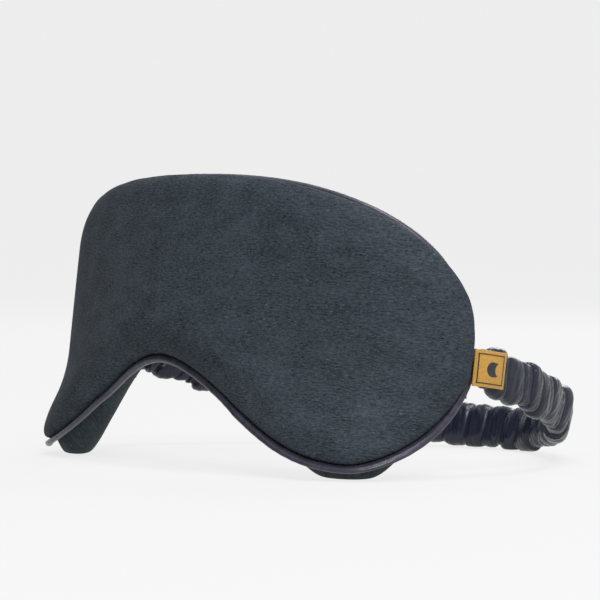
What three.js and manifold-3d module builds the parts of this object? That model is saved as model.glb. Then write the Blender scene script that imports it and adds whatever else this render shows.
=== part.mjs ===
// A padded sleep eye mask: a curved, piped pad with a nose notch, and a ruched strap over an elastic band.
// Millimetres. +X is to the right of someone facing the mask's front, +Y runs back towards the wearer's
// head and +Z is up. The mask stands on its two cheek lobes and on the rear edge of its strap, at z = 0.
import * as THREE from "three";
import { mergeVertices } from "three/addons/utils/BufferGeometryUtils.js";
import Module from "manifold-3d";

const wasm = await Module();
wasm.setup();

// ---- Driving dimensions ----------------------------------------------------------------------------
const DEGREE = Math.PI / 180;
const GAP = 0.3; // clearance between pieces that touch on the real mask
const SIDES = { right: 1, left: -1 };

// The flat pattern: "along" runs sideways from the bridge, "up" runs from the lobes' lowest line.
const HALF_WIDTH = 105;
const HEIGHT = 86.2;
const NOTCH_HEIGHT = 29.1;
const LOBE_ALONG = 72.9; // where the cheek lobes are lowest
const END_UP = 29.5; // height of the two ends, where the strap is sewn in

// The curve round the face, in plan: heading(q) = a q + b q^3 + c q^5 radians, q = along / 100.
const PLAN_TURN = [0.35, 0.47, 0.57];
const LEAN = 6.07 * DEGREE; // how far the standing mask leans back
const FLARE = 12.2; // how far the lobes' lower edge turns forward
const FLARE_HEIGHT = 30.5;
const FLARE_ALONG = 35;
const LOBE_SAG = 20.6; // how far the lining's crown hangs below the lobes' edge
const NOSE_PUSH = 16.5; // how far the bridge stands forward at its lower edge
const NOSE_SPREAD = 41;
const NOSE_FADE_HEIGHT = 77.3;
const PUFF = 4.2; // how far the padded front overhangs the seam along the top
const PUFF_LEVELS = [0.9, 4.6]; // the distances in front of the seam between which the overhang grows
const PUFF_UP = [24, 54]; // the heights between which it grows

// The layers. Each dome rises from the seam to its crown over EDGE_ROUND.
const FRONT_CROWN = 8.1;
const BACK_CROWN = 9.8;
const EDGE_ROUND = 13.6;
const PANEL_SETBACK = 1.6; // from the piping's centre line to the panels' seam edge
const PANEL_THICKNESS = 0.9;
const SEAM_LEVEL = 0.5; // from the seam plane to each panel
const WADDING_CLEARANCE = 1.2;
const LINING_THICKNESS = 0.5;
const LINING_SETBACK = 7;

// Piping: a satin sleeve with a flat flange that is caught in the seam, over a cord.
const PIPING_RADIUS = 1.3;
const PIPING_BORE = 0.85;
const CORD_RADIUS = 0.5;
const FLANGE_DEPTH = 6;
const FLANGE_THICKNESS = 0.4;
const PIPING_STEPS = 84;
const PIPING_BUTT = 0.6; // the open butt joint where the sleeve's two ends meet

// Strap: a flat loop in one plane that droops from the hinge line through its two sewn ends.
const STRAP_HALF_WIDTH = 88.3;
const STRAP_HEIGHT = 15;
const STRAP_THICKNESS = 5.6;
const STRAP_WALL = 1.2;
const STRAP_ROUNDNESS = 0.437; // how full the loop's corners are
const STRAP_DEPTH = 91.5; // from the seam to the middle of the back, in the strap's plane
const STRAP_DROOP = 16.45 * DEGREE;
const SEAM_Y = 45.6;
const SEAM_Z = 29.3;
const REAR_SHARE = [0.3, 0.7]; // the stretch of the loop that moves back when it is pulled
const ELASTIC_HEIGHT = 10.6;
const ELASTIC_THICKNESS = 1.6;
const SWING_RADIUS = STRAP_HEIGHT / 2;
const ROOT_WEB = 1.6;
const ROOT_REACH = SWING_RADIUS + GAP + ROOT_WEB; // from the seam to the swing axis
const TONGUE = { length: 9, height: 11, thickness: 1 }; // the elastic's end, flat inside the side seam
const TACK = { height: 10, width: 0.9, thickness: 0.5 };
const LABEL = { width: 11.4, height: 11.6, thickness: 0.5, start: -8.9 };
const STITCH = { height: 10.4, width: 0.4, thickness: 0.3, inset: 0.9 };

// Where the frame's origin lies: under the middle of the whole mask, on the surface it stands on.
const FLOOR_Z = -4;
const MIDDLE_Y = 63.1;

const FINISH = {
  face: { color: 0x3c4349, roughness: 0.85 },
  lining: { color: 0x30373a, roughness: 0.9 },
  satin: { color: 0x3b3d47, roughness: 0.45 },
  piping: { color: 0x4b4855, roughness: 0.4 },
  wadding: { color: 0xe6e4de, roughness: 0.95 },
  blackout: { color: 0x17181a, roughness: 0.8 },
  cord: { color: 0xdcd9d0, roughness: 0.9 },
  elastic: { color: 0x24262b, roughness: 0.8 },
  label: { color: 0xb88f3e, roughness: 0.7 },
  thread: { color: 0x1c1b1d, roughness: 0.6 },
};

// ---- The flat pattern ------------------------------------------------------------------------------
// The whole outline as one closed path, anticlockwise from the left end round the lower edge.
function flatOutline() {
  const path = new THREE.Path();
  const lobe = LOBE_ALONG;
  const end = HALF_WIDTH;
  const under = lobe + (end - lobe) * 0.427;
  const shoulder = END_UP + (HEIGHT - END_UP) * 0.898;
  path.moveTo(-end, END_UP);
  path.bezierCurveTo(-end, END_UP * 0.886, -under, 0, -lobe, 0);
  path.bezierCurveTo(-lobe * 0.64, 0, -lobe * 0.307, NOTCH_HEIGHT, 0, NOTCH_HEIGHT);
  path.bezierCurveTo(lobe * 0.307, NOTCH_HEIGHT, lobe * 0.64, 0, lobe, 0);
  path.bezierCurveTo(under, 0, end, END_UP * 0.886, end, END_UP);
  path.bezierCurveTo(end, shoulder, end * 0.501, HEIGHT, 0, HEIGHT);
  path.bezierCurveTo(-end * 0.501, HEIGHT, -end, shoulder, -end, END_UP);
  return path;
}

const OUTLINE = flatOutline();
const OUTLINE_POINTS = OUTLINE.getSpacedPoints(240);

// The right half's lower and upper edges, moved inwards by a setback, as points ordered by "along".
function edgesAt(setback) {
  const lower = [];
  const upper = [];
  const count = 400;
  for (let i = 0; i <= count; i += 1) {
    const share = i / count;
    const point = OUTLINE.getPointAt(share);
    const heading = OUTLINE.getTangentAt(share);
    const moved = new THREE.Vector2(point.x - heading.y * setback, point.y + heading.x * setback);
    if (moved.x < -0.01) continue;
    if (heading.x >= 0) lower.push(moved);
    if (heading.x <= 0) upper.unshift(moved);
  }
  return { lower, upper, reach: HALF_WIDTH - setback };
}

function heightOn(edge, along) {
  const after = edge.findIndex((point) => point.x >= along);
  if (after < 0) return edge[edge.length - 1].y;
  if (after === 0) return edge[0].y;
  const [a, b] = [edge[after - 1], edge[after]];
  return a.y + ((b.y - a.y) * (along - a.x)) / (b.x - a.x);
}

// How far a point of the flat pattern is from the outline.
function depthInside(along, up) {
  const point = new THREE.Vector3(along, up, 0);
  const nearest = new THREE.Vector3();
  let depth = Infinity;
  for (let i = 1; i < OUTLINE_POINTS.length; i += 1) {
    const a = new THREE.Vector3(OUTLINE_POINTS[i - 1].x, OUTLINE_POINTS[i - 1].y, 0);
    const b = new THREE.Vector3(OUTLINE_POINTS[i].x, OUTLINE_POINTS[i].y, 0);
    new THREE.Line3(a, b).closestPointToPoint(point, true, nearest);
    depth = Math.min(depth, nearest.distanceTo(point));
  }
  return depth;
}

// ---- From the flat pattern to the worn shape -------------------------------------------------------
function planPoint(along) {
  const steps = 60;
  const step = along / steps;
  let x = 0;
  let y = 0;
  for (let i = 0; i < steps; i += 1) {
    const heading = planHeading(step * (i + 0.5));
    x += Math.cos(heading) * step;
    y += Math.sin(heading) * step;
  }
  return { x, y, heading: planHeading(along) };
}

function planHeading(along) {
  const q = along / 100;
  const [a, b, c] = PLAN_TURN;
  return a * q + b * q ** 3 + c * q ** 5;
}

// 1 along the lobes' lower edge, fading to 0 above it and towards the bridge.
function lobeShare(along, up) {
  const { clamp } = THREE.MathUtils;
  const low = clamp((FLARE_HEIGHT - up) / FLARE_HEIGHT, 0, 1);
  const beside = clamp(Math.abs(along) / FLARE_ALONG, 0, 1);
  return low ** 2 * beside ** 2;
}

// How far the pad's middle surface stands forward of the plain curve.
function forward(along, up) {
  const bridge = Math.exp(-((along / NOSE_SPREAD) ** 2));
  const fade = THREE.MathUtils.clamp(1 - up / NOSE_FADE_HEIGHT, 0, 1);
  return FLARE * lobeShare(along, up) + NOSE_PUSH * bridge * fade;
}

function smoothStep([low, high], value) {
  const t = THREE.MathUtils.clamp((value - low) / (high - low), 0, 1);
  return t * t * (3 - 2 * t);
}

// How far the padded front overhangs the seam at a point, sideways and up.
function overhang(along, up, out) {
  const over = PUFF * smoothStep(PUFF_LEVELS, out) * smoothStep(PUFF_UP, up);
  const sideways = THREE.MathUtils.clamp(along / HALF_WIDTH, -1.1, 1.1) ** 3;
  const upwards = THREE.MathUtils.clamp(up / HEIGHT, 0, 1.1) ** 2;
  return [over * sideways, over * upwards];
}

// A point of the flat pattern, raised "out" from the seam plane towards the front, in place.
function worn(flatAlong, flatUp, out) {
  const [sideways, upwards] = overhang(flatAlong, flatUp, out);
  const [along, up] = [flatAlong + sideways, flatUp + upwards];
  const plan = planPoint(along);
  const raised = out + forward(along, up);
  const x = plan.x + Math.sin(plan.heading) * raised;
  const y = plan.y - Math.cos(plan.heading) * raised;
  const behind = Math.max(-out - PIPING_RADIUS, 0) / (BACK_CROWN - PIPING_RADIUS);
  const z = up - LOBE_SAG * behind * lobeShare(along, up);
  const [cos, sin] = [Math.cos(LEAN), Math.sin(LEAN)];
  return new THREE.Vector3(x, y * cos + z * sin, z * cos - y * sin);
}

// ---- Shaping tools ---------------------------------------------------------------------------------
// Moves every vertex of a geometry to where place(x, y, z) puts it.
function reshape(geometry, place) {
  const position = geometry.attributes.position;
  for (let i = 0; i < position.count; i += 1) {
    const to = place(position.getX(i), position.getY(i), position.getZ(i));
    position.setXYZ(i, to.x, to.y, to.z);
  }
  return closed(geometry);
}

// The geometry with its shared vertices merged and its collapsed faces dropped.
function closed(geometry) {
  geometry.deleteAttribute("normal");
  geometry.deleteAttribute("uv");
  const merged = mergeVertices(geometry, 1e-3);
  const index = merged.index.array;
  const kept = [];
  for (let i = 0; i < index.length; i += 3) {
    const [a, b, c] = [index[i], index[i + 1], index[i + 2]];
    if (a !== b && b !== c && c !== a) kept.push(a, b, c);
  }
  merged.setIndex(kept);
  merged.computeVertexNormals();
  return merged;
}

function toManifold(geometry) {
  const merged = closed(geometry.clone());
  return new wasm.Manifold(
    new wasm.Mesh({
      numProp: 3,
      vertProperties: new Float32Array(merged.attributes.position.array),
      triVerts: new Uint32Array(merged.index.array),
    }),
  );
}

function fromManifold(manifold) {
  const mesh = manifold.getMesh();
  const geometry = new THREE.BufferGeometry();
  geometry.setAttribute("position", new THREE.BufferAttribute(mesh.vertProperties, 3));
  geometry.setIndex(new THREE.BufferAttribute(mesh.triVerts, 1));
  geometry.computeVertexNormals();
  return geometry;
}

// What is left of a geometry after the cutters are taken away: its largest body, without loose slivers.
function cut(geometry, ...cutters) {
  const left = cutters.reduce((rest, tool) => rest.subtract(toManifold(tool)), toManifold(geometry));
  const bodies = left.decompose().sort((a, b) => b.volume() - a.volume());
  return fromManifold(bodies[0]);
}

function namedMesh(name, geometry, finish) {
  const material = new THREE.MeshStandardMaterial({ ...FINISH[finish], metalness: 0 });
  const mesh = new THREE.Mesh(geometry, material);
  mesh.name = name;
  return mesh;
}

// ---- The padded body -------------------------------------------------------------------------------
// One face of a layer: it starts at "level" on its own edge and rises by "crown" over "round".
function face({ setback, level, crown, round }) {
  const edges = edgesAt(setback);
  return (a, b) => {
    const along = edges.reach * Math.sin((a * Math.PI) / 2);
    const low = heightOn(edges.lower, Math.abs(along));
    const high = heightOn(edges.upper, Math.abs(along));
    const up = (low + high) / 2 + ((high - low) / 2) * Math.sin((b * Math.PI) / 2);
    const onEdge = Math.abs(a) > 0.999 || Math.abs(b) > 0.999;
    const depth = onEdge ? 0 : Math.max(depthInside(along, up) - setback, 0);
    const rise = Math.sqrt(1 - (1 - Math.min(depth / round, 1)) ** 2);
    return worn(along, up, level + crown * rise);
  };
}

// A layer is a box of columns and rows whose two big faces become the layer's two faces.
function layer(columns, rows, front, back) {
  const frontFace = face(front);
  const backFace = face(back);
  const box = new THREE.BoxGeometry(2, 2, 2, columns, rows, 1);
  return reshape(box, (a, b, c) => (c > 0 ? frontFace(a, b) : backFace(a, b)));
}

function dome(level, crown, inset) {
  return {
    setback: PANEL_SETBACK + inset,
    level,
    crown: Math.sign(crown) * (Math.abs(crown) - Math.abs(level) - inset),
    round: EDGE_ROUND - PANEL_SETBACK - inset,
  };
}

function flat(level, inset) {
  return { setback: PANEL_SETBACK + inset, level, crown: 0, round: 1 };
}

function paddedBody() {
  const fine = [30, 12];
  const coarse = [26, 10];
  const fill = PANEL_THICKNESS + WADDING_CLEARANCE;
  const fillLevel = SEAM_LEVEL + WADDING_CLEARANCE;
  const half = LINING_THICKNESS / 2;
  const liningInset = LINING_SETBACK - PANEL_SETBACK;
  const front = layer(
    ...fine,
    dome(SEAM_LEVEL, FRONT_CROWN, 0),
    dome(SEAM_LEVEL, FRONT_CROWN, PANEL_THICKNESS),
  );
  const back = layer(
    ...fine,
    dome(-SEAM_LEVEL, -BACK_CROWN, PANEL_THICKNESS),
    dome(-SEAM_LEVEL, -BACK_CROWN, 0),
  );
  const frontFill = layer(...coarse, dome(fillLevel, FRONT_CROWN, fill), flat(fillLevel, fill));
  const backFill = layer(...coarse, flat(-fillLevel, fill), dome(-fillLevel, -BACK_CROWN, fill));
  const lining = layer(...coarse, flat(half, liningInset), flat(-half, liningInset));
  const pockets = [tonguePocket(1), tonguePocket(-1)];
  return [
    namedMesh("front_panel", front, "face"),
    namedMesh("front_wadding", frontFill, "wadding"),
    namedMesh("blackout_lining", lining, "blackout"),
    namedMesh("back_wadding", cut(backFill, ...pockets), "wadding"),
    namedMesh("back_panel", cut(back, ...pockets, belowFloor()), "lining"),
  ];
}

// Everything under the surface the mask stands on: it presses the lobes flat there.
function belowFloor() {
  const depth = 20;
  return new THREE.BoxGeometry(300, 400, depth).translate(0, MIDDLE_Y, FLOOR_Z - depth / 2);
}

// ---- Piping ----------------------------------------------------------------------------------------
// Bends a straight extrusion round the outline: its x is inwards, its y is out from the seam plane.
function roundTheEdge(shape, steps, share) {
  const straight = new THREE.ExtrudeGeometry(shape, {
    depth: 1,
    steps,
    curveSegments: 4,
    bevelEnabled: false,
  });
  return reshape(straight, (inwards, out, z) => {
    const at = z * share;
    const point = OUTLINE.getPointAt(at);
    const heading = OUTLINE.getTangentAt(at);
    return worn(point.x - heading.y * inwards, point.y + heading.x * inwards, out);
  });
}

function pipingSleeve() {
  const half = FLANGE_THICKNESS / 2;
  const mouth = Math.asin(half / PIPING_RADIUS);
  const section = new THREE.Shape();
  section.moveTo(FLANGE_DEPTH, half);
  section.absarc(0, 0, PIPING_RADIUS, mouth, 2 * Math.PI - mouth, false);
  section.lineTo(FLANGE_DEPTH, -half);
  const bore = new THREE.Path();
  bore.absarc(0, 0, PIPING_BORE, 0, 2 * Math.PI, false);
  section.holes.push(bore);
  return section;
}

function cordSection() {
  const section = new THREE.Shape();
  section.absarc(0, 0, CORD_RADIUS, 0, 2 * Math.PI, false);
  return section;
}

function piping() {
  const share = 1 - PIPING_BUTT / OUTLINE.getLength();
  return [
    namedMesh("piping_sleeve", roundTheEdge(pipingSleeve(), PIPING_STEPS, share), "piping"),
    namedMesh("piping_cord", roundTheEdge(cordSection(), PIPING_STEPS, share), "cord"),
  ];
}

// ---- Strap -----------------------------------------------------------------------------------------
// The strap's own frame has its origin on the swing axis: x sideways, y back along its plane, z its height.
function strapLoop() {
  const seam = -ROOT_REACH;
  const rear = STRAP_DEPTH - ROOT_REACH;
  const side = STRAP_DEPTH * STRAP_ROUNDNESS;
  const back = STRAP_HALF_WIDTH * STRAP_ROUNDNESS;
  const path = new THREE.CurvePath();
  const at = (x, y) => new THREE.Vector3(x, y, 0);
  const wide = STRAP_HALF_WIDTH;
  path.add(
    new THREE.CubicBezierCurve3(at(wide, seam), at(wide, seam + side), at(back, rear), at(0, rear)),
  );
  path.add(
    new THREE.CubicBezierCurve3(at(0, rear), at(-back, rear), at(-wide, seam + side), at(-wide, seam)),
  );
  return path;
}

const LOOP = strapLoop();
const LOOP_LENGTH = LOOP.getLength();
const AXIS_SHARE = ROOT_REACH / LOOP_LENGTH;

// A flat band's section: its long side is the strap's height, with round corners.
function bandSection(height, thickness, roundness) {
  const r = thickness * roundness;
  const [h, t] = [height / 2, thickness / 2];
  const section = new THREE.Shape();
  section.moveTo(t, -h + r);
  section.lineTo(t, h - r);
  section.absarc(t - r, h - r, r, 0, Math.PI / 2, false);
  section.lineTo(-t + r, h);
  section.absarc(-t + r, h - r, r, Math.PI / 2, Math.PI, false);
  section.lineTo(-t, -h + r);
  section.absarc(-t + r, -h + r, r, Math.PI, 1.5 * Math.PI, false);
  section.lineTo(t - r, -h);
  section.absarc(t - r, -h + r, r, 1.5 * Math.PI, 2 * Math.PI, false);
  return section;
}

function coverSection() {
  const section = bandSection(STRAP_HEIGHT, STRAP_THICKNESS, 0.4);
  const height = STRAP_HEIGHT - 2 * STRAP_WALL;
  const thickness = STRAP_THICKNESS - 2 * STRAP_WALL;
  section.holes.push(bandSection(height, thickness, 0.3));
  return section;
}

// Bends a straight extrusion along the loop from one share of its length to another. Where it passes
// the swing axis towards the seam its height shrinks to a half circle, so that it turns inside the root.
function alongLoop(section, from, to, steps, swingRadius) {
  const straight = new THREE.ExtrudeGeometry(section, {
    depth: 1,
    steps,
    curveSegments: 1,
    bevelEnabled: false,
  });
  const up = new THREE.Vector3(0, 0, 1);
  return reshape(straight, (across, height, z) => {
    const share = to + (from - to) * z;
    const point = LOOP.getPointAt(share);
    const outwards = new THREE.Vector3().crossVectors(LOOP.getTangentAt(share), up);
    const past = THREE.MathUtils.clamp(-point.y / swingRadius, 0, 1);
    const scale = Math.sqrt(1 - past ** 2);
    return point.addScaledVector(outwards, across).setZ(height * scale);
  });
}

// One side of the loop, from just short of the root to the rear stretch. side is 1 right, -1 left.
function sideStretch(section, height, side) {
  const radius = height / 2;
  const start = AXIS_SHARE - (0.97 * radius) / LOOP_LENGTH;
  const end = REAR_SHARE[0] - GAP / LOOP_LENGTH;
  const [from, to] = side > 0 ? [start, end] : [1 - end, 1 - start];
  return alongLoop(section, from, to, 20, radius);
}

function rearStretch(section) {
  return alongLoop(section, REAR_SHARE[0], REAR_SHARE[1], 14, SWING_RADIUS);
}

// The root is the strap's gathered end, stitched to the side seam: the moving side turns just behind it.
function strapRoot(side) {
  const web = { width: ROOT_WEB, height: STRAP_HEIGHT, thickness: STRAP_THICKNESS };
  return bandInPlane(side, web, -ROOT_REACH + ROOT_WEB / 2, STRAP_HALF_WIDTH);
}

function bandInPlane(side, { width, height, thickness }, y, x) {
  const box = new THREE.BoxGeometry(thickness, width, height);
  return box.translate(side * x, y, 0);
}

function barTack(side) {
  const inner = STRAP_HALF_WIDTH - STRAP_THICKNESS / 2 - GAP - TACK.thickness / 2;
  return bandInPlane(side, TACK, -ROOT_REACH + TACK.width, inner);
}

function labelParts() {
  const outer = STRAP_HALF_WIDTH + STRAP_THICKNESS / 2 + GAP;
  const middle = LABEL.start + LABEL.width / 2;
  const onTop = outer + LABEL.thickness + GAP + STITCH.thickness / 2;
  const ends = { front: -1, rear: 1 };
  const rows = Object.entries(ends).map(([name, end]) => {
    const y = middle + end * (LABEL.width / 2 - STITCH.inset);
    return namedMesh(`label_stitch_${name}`, bandInPlane(1, STITCH, y, onTop), "thread");
  });
  const cloth = bandInPlane(1, LABEL, middle, outer + LABEL.thickness / 2);
  return [namedMesh("woven_label", cloth, "label"), ...rows];
}

// The tongue and the pocket it lies in, in the mask's own frame: it passes in just behind the piping.
function tongueBox(side, grow) {
  const level = -PIPING_RADIUS - GAP - TONGUE.thickness / 2;
  const box = new THREE.BoxGeometry(
    TONGUE.length + 2 * grow,
    TONGUE.height + 2 * grow,
    TONGUE.thickness + 2 * grow,
  );
  const middle = HALF_WIDTH - TONGUE.length / 2 + PIPING_RADIUS;
  return reshape(box, (along, up, out) =>
    worn(along + side * middle, up + END_UP, out + level),
  );
}

const tonguePocket = (side) => tongueBox(side, GAP);

function elasticEnds() {
  return Object.entries(SIDES).map(([name, side]) =>
    namedMesh(`elastic_end_${name}`, tongueBox(side, 0), "elastic"),
  );
}

function strap() {
  const cover = coverSection();
  const elastic = bandSection(ELASTIC_HEIGHT, ELASTIC_THICKNESS, 0.3);
  const group = new THREE.Group();
  for (const [name, side] of Object.entries(SIDES)) {
    group.add(
      namedMesh(`strap_root_${name}`, strapRoot(side), "satin"),
      namedMesh(`bar_tack_${name}`, barTack(side), "thread"),
      namedMesh(`strap_cover_${name}`, sideStretch(cover, STRAP_HEIGHT, side), "satin"),
      namedMesh(`elastic_${name}`, sideStretch(elastic, ELASTIC_HEIGHT, side), "elastic"),
    );
  }
  group.add(namedMesh("strap_cover_rear", rearStretch(cover), "satin"));
  group.add(namedMesh("elastic_rear", rearStretch(elastic), "elastic"));
  group.add(...labelParts());
  const [cos, sin] = [Math.cos(STRAP_DROOP), Math.sin(STRAP_DROOP)];
  group.position.set(0, SEAM_Y + ROOT_REACH * cos, SEAM_Z - ROOT_REACH * sin);
  group.rotation.x = -STRAP_DROOP;
  return group;
}

// ---- The whole mask --------------------------------------------------------------------------------
const mask = new THREE.Group();
mask.add(...paddedBody(), ...piping(), ...elasticEnds(), strap());
mask.position.set(0, -MIDDLE_Y, -FLOOR_Z);

export default mask;
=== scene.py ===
"""A padded sleep eye mask with a ruched elastic strap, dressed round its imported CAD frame."""

import logging
import math
import random
from dataclasses import dataclass, field
from enum import Enum
from typing import Callable, Sequence

import bmesh
import bpy
import numpy as np
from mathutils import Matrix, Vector, noise


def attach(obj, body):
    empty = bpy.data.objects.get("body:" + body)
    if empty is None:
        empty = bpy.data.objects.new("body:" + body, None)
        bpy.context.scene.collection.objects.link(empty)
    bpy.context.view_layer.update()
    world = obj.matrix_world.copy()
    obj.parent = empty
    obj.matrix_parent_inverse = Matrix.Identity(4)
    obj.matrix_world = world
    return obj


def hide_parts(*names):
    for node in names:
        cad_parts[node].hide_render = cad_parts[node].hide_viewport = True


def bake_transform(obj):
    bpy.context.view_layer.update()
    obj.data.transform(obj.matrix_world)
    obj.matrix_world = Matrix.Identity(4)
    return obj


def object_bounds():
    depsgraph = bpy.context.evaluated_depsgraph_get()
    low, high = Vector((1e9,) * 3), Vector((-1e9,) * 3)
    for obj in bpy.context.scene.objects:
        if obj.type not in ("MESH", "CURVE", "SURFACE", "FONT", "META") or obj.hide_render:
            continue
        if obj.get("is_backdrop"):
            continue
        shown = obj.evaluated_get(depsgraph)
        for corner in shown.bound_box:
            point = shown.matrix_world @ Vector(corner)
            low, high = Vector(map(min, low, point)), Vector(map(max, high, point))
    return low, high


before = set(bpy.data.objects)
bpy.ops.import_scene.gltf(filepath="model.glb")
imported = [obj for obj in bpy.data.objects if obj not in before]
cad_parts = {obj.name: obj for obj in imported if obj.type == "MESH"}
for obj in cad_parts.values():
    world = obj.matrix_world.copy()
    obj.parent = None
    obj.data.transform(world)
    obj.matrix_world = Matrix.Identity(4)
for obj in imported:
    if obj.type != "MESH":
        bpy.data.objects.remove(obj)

log = logging.getLogger("sleep_mask")
MM = 0.001
Colour = tuple[float, float, float]
Place = Callable[[np.ndarray, np.ndarray], np.ndarray]


# ---- The mask's geometry --------------------------------------------------------------------------
@dataclass(frozen=True)
class Pattern:
    """The mask's flat pattern and the way it curves round the face, in millimetres.

    "along" runs sideways from the bridge, "up" from the lobes' lowest line, and "out" from the seam
    plane towards the front. Lengths become metres only in worn().
    """

    half_width: float = 105.0
    height: float = 86.2
    notch_height: float = 29.1
    lobe_along: float = 72.9
    end_up: float = 29.5
    plan_turn: tuple[float, float, float] = (0.35, 0.47, 0.57)
    lean: float = math.radians(6.07)
    flare: float = 12.2
    flare_height: float = 30.5
    flare_along: float = 35.0
    lobe_sag: float = 20.6
    sag_from: float = 1.3
    nose_push: float = 16.5
    nose_spread: float = 41.0
    nose_fade_height: float = 77.3
    back_crown: float = 9.8
    puff: float = 4.2
    puff_levels: tuple[float, float] = (0.9, 4.6)
    puff_low: float = 24.0
    floor_z: float = -4.0
    middle_y: float = 63.1

    def outline(self, count: int = 1600) -> np.ndarray:
        """Points at equal steps round the closed outline, anticlockwise from the left end.

        Args:
            count: How many steps to take.

        Returns:
            An array of (along, up), one row per point, without repeating the first.
        """
        lobe, end, up, top = self.lobe_along, self.half_width, self.end_up, self.height
        under = lobe + (end - lobe) * 0.427
        shoulder = up + (top - up) * 0.898
        notch = self.notch_height
        right = [
            ((0, notch), (lobe * 0.307, notch), (lobe * 0.64, 0), (lobe, 0)),
            ((lobe, 0), (under, 0), (end, up * 0.886), (end, up)),
            ((end, up), (end, shoulder), (end * 0.501, top), (0, top)),
        ]
        left = [tuple((-x, y) for x, y in reversed(curve)) for curve in reversed(right)]
        curves = [left[1], left[2], right[0], right[1], right[2], left[0]]
        t = np.linspace(0, 1, 400, endpoint=False)[:, None]
        dense = np.concatenate([bezier(np.array(curve, float), t) for curve in curves])
        return resampled(dense, count)

    def worn(self, along: np.ndarray, up: np.ndarray, out: np.ndarray) -> np.ndarray:
        """Takes points of the flat pattern to their places on the standing mask.

        Args:
            along: Distances sideways from the bridge.
            up: Heights above the lobes' lowest line.
            out: Distances in front of the seam plane.

        Returns:
            An array of points in metres, in the frame of the CAD model.
        """
        over = self.puff * smooth_step(*self.puff_levels, out)
        over = over * smooth_step(self.puff_low, self.puff_low + 30, up)
        up = up + over * np.clip(up / self.height, 0, 1.1) ** 2
        along = along + over * np.clip(along / self.half_width, -1.1, 1.1) ** 3
        low = np.clip((self.flare_height - up) / self.flare_height, 0, 1)
        lobe = low**2 * np.clip(np.abs(along) / self.flare_along, 0, 1) ** 2
        bridge = np.exp(-((along / self.nose_spread) ** 2))
        fade = np.clip(1 - up / self.nose_fade_height, 0, 1)
        raised = out + self.flare * lobe + self.nose_push * bridge * fade
        x, y, heading = self.plan(along)
        x = x + np.sin(heading) * raised
        y = y - np.cos(heading) * raised
        behind = np.clip((-out - self.sag_from) / (self.back_crown - self.sag_from), 0, None)
        z = up - self.lobe_sag * behind * lobe
        cos, sin = math.cos(self.lean), math.sin(self.lean)
        leaned = np.stack([x, y * cos + z * sin, z * cos - y * sin], axis=-1)
        return (leaned - np.array([0, self.middle_y, self.floor_z])) * MM

    def plan(self, along: np.ndarray) -> tuple[np.ndarray, np.ndarray, np.ndarray]:
        """The curve round the face seen from above.

        Args:
            along: Distances sideways from the bridge.

        Returns:
            x, y and the heading in radians at each distance.
        """
        table = np.linspace(-115, 115, 2301)
        a, b, c = self.plan_turn
        q = table / 100
        heading = a * q + b * q**3 + c * q**5
        x = cumulative(np.cos(heading), table)
        y = cumulative(np.sin(heading), table)
        return (
            np.interp(along, table, x),
            np.interp(along, table, y),
            np.interp(along, table, heading),
        )


def bezier(handles: np.ndarray, t: np.ndarray) -> np.ndarray:
    """Points of a cubic curve.

    Args:
        handles: Its four handles, one per row.
        t: Where to take the points, from 0 to 1, as a column.

    Returns:
        The points, one per row.
    """
    a, b, c, d = handles
    s = 1 - t
    return a * s**3 + 3 * b * s**2 * t + 3 * c * s * t**2 + d * t**3


def cumulative(rate: np.ndarray, at: np.ndarray) -> np.ndarray:
    """The running integral of a rate, zero in the middle of its range.

    Args:
        rate: The rate at each place.
        at: The places, at equal steps.

    Returns:
        The integral at each place.
    """
    steps = (rate[1:] + rate[:-1]) / 2 * np.diff(at)
    total = np.concatenate([[0], np.cumsum(steps)])
    return total - total[len(total) // 2]


def resampled(points: np.ndarray, count: int) -> np.ndarray:
    """A closed line's points at equal steps of its length.

    Args:
        points: The line's points, without repeating the first.
        count: How many steps to take.

    Returns:
        The new points, one per row.
    """
    ring = np.vstack([points, points[:1]])
    length = np.concatenate([[0], np.cumsum(np.linalg.norm(np.diff(ring, axis=0), axis=1))])
    wanted = np.linspace(0, length[-1], count, endpoint=False)
    return np.stack([np.interp(wanted, length, ring[:, k]) for k in range(2)], axis=1)


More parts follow.
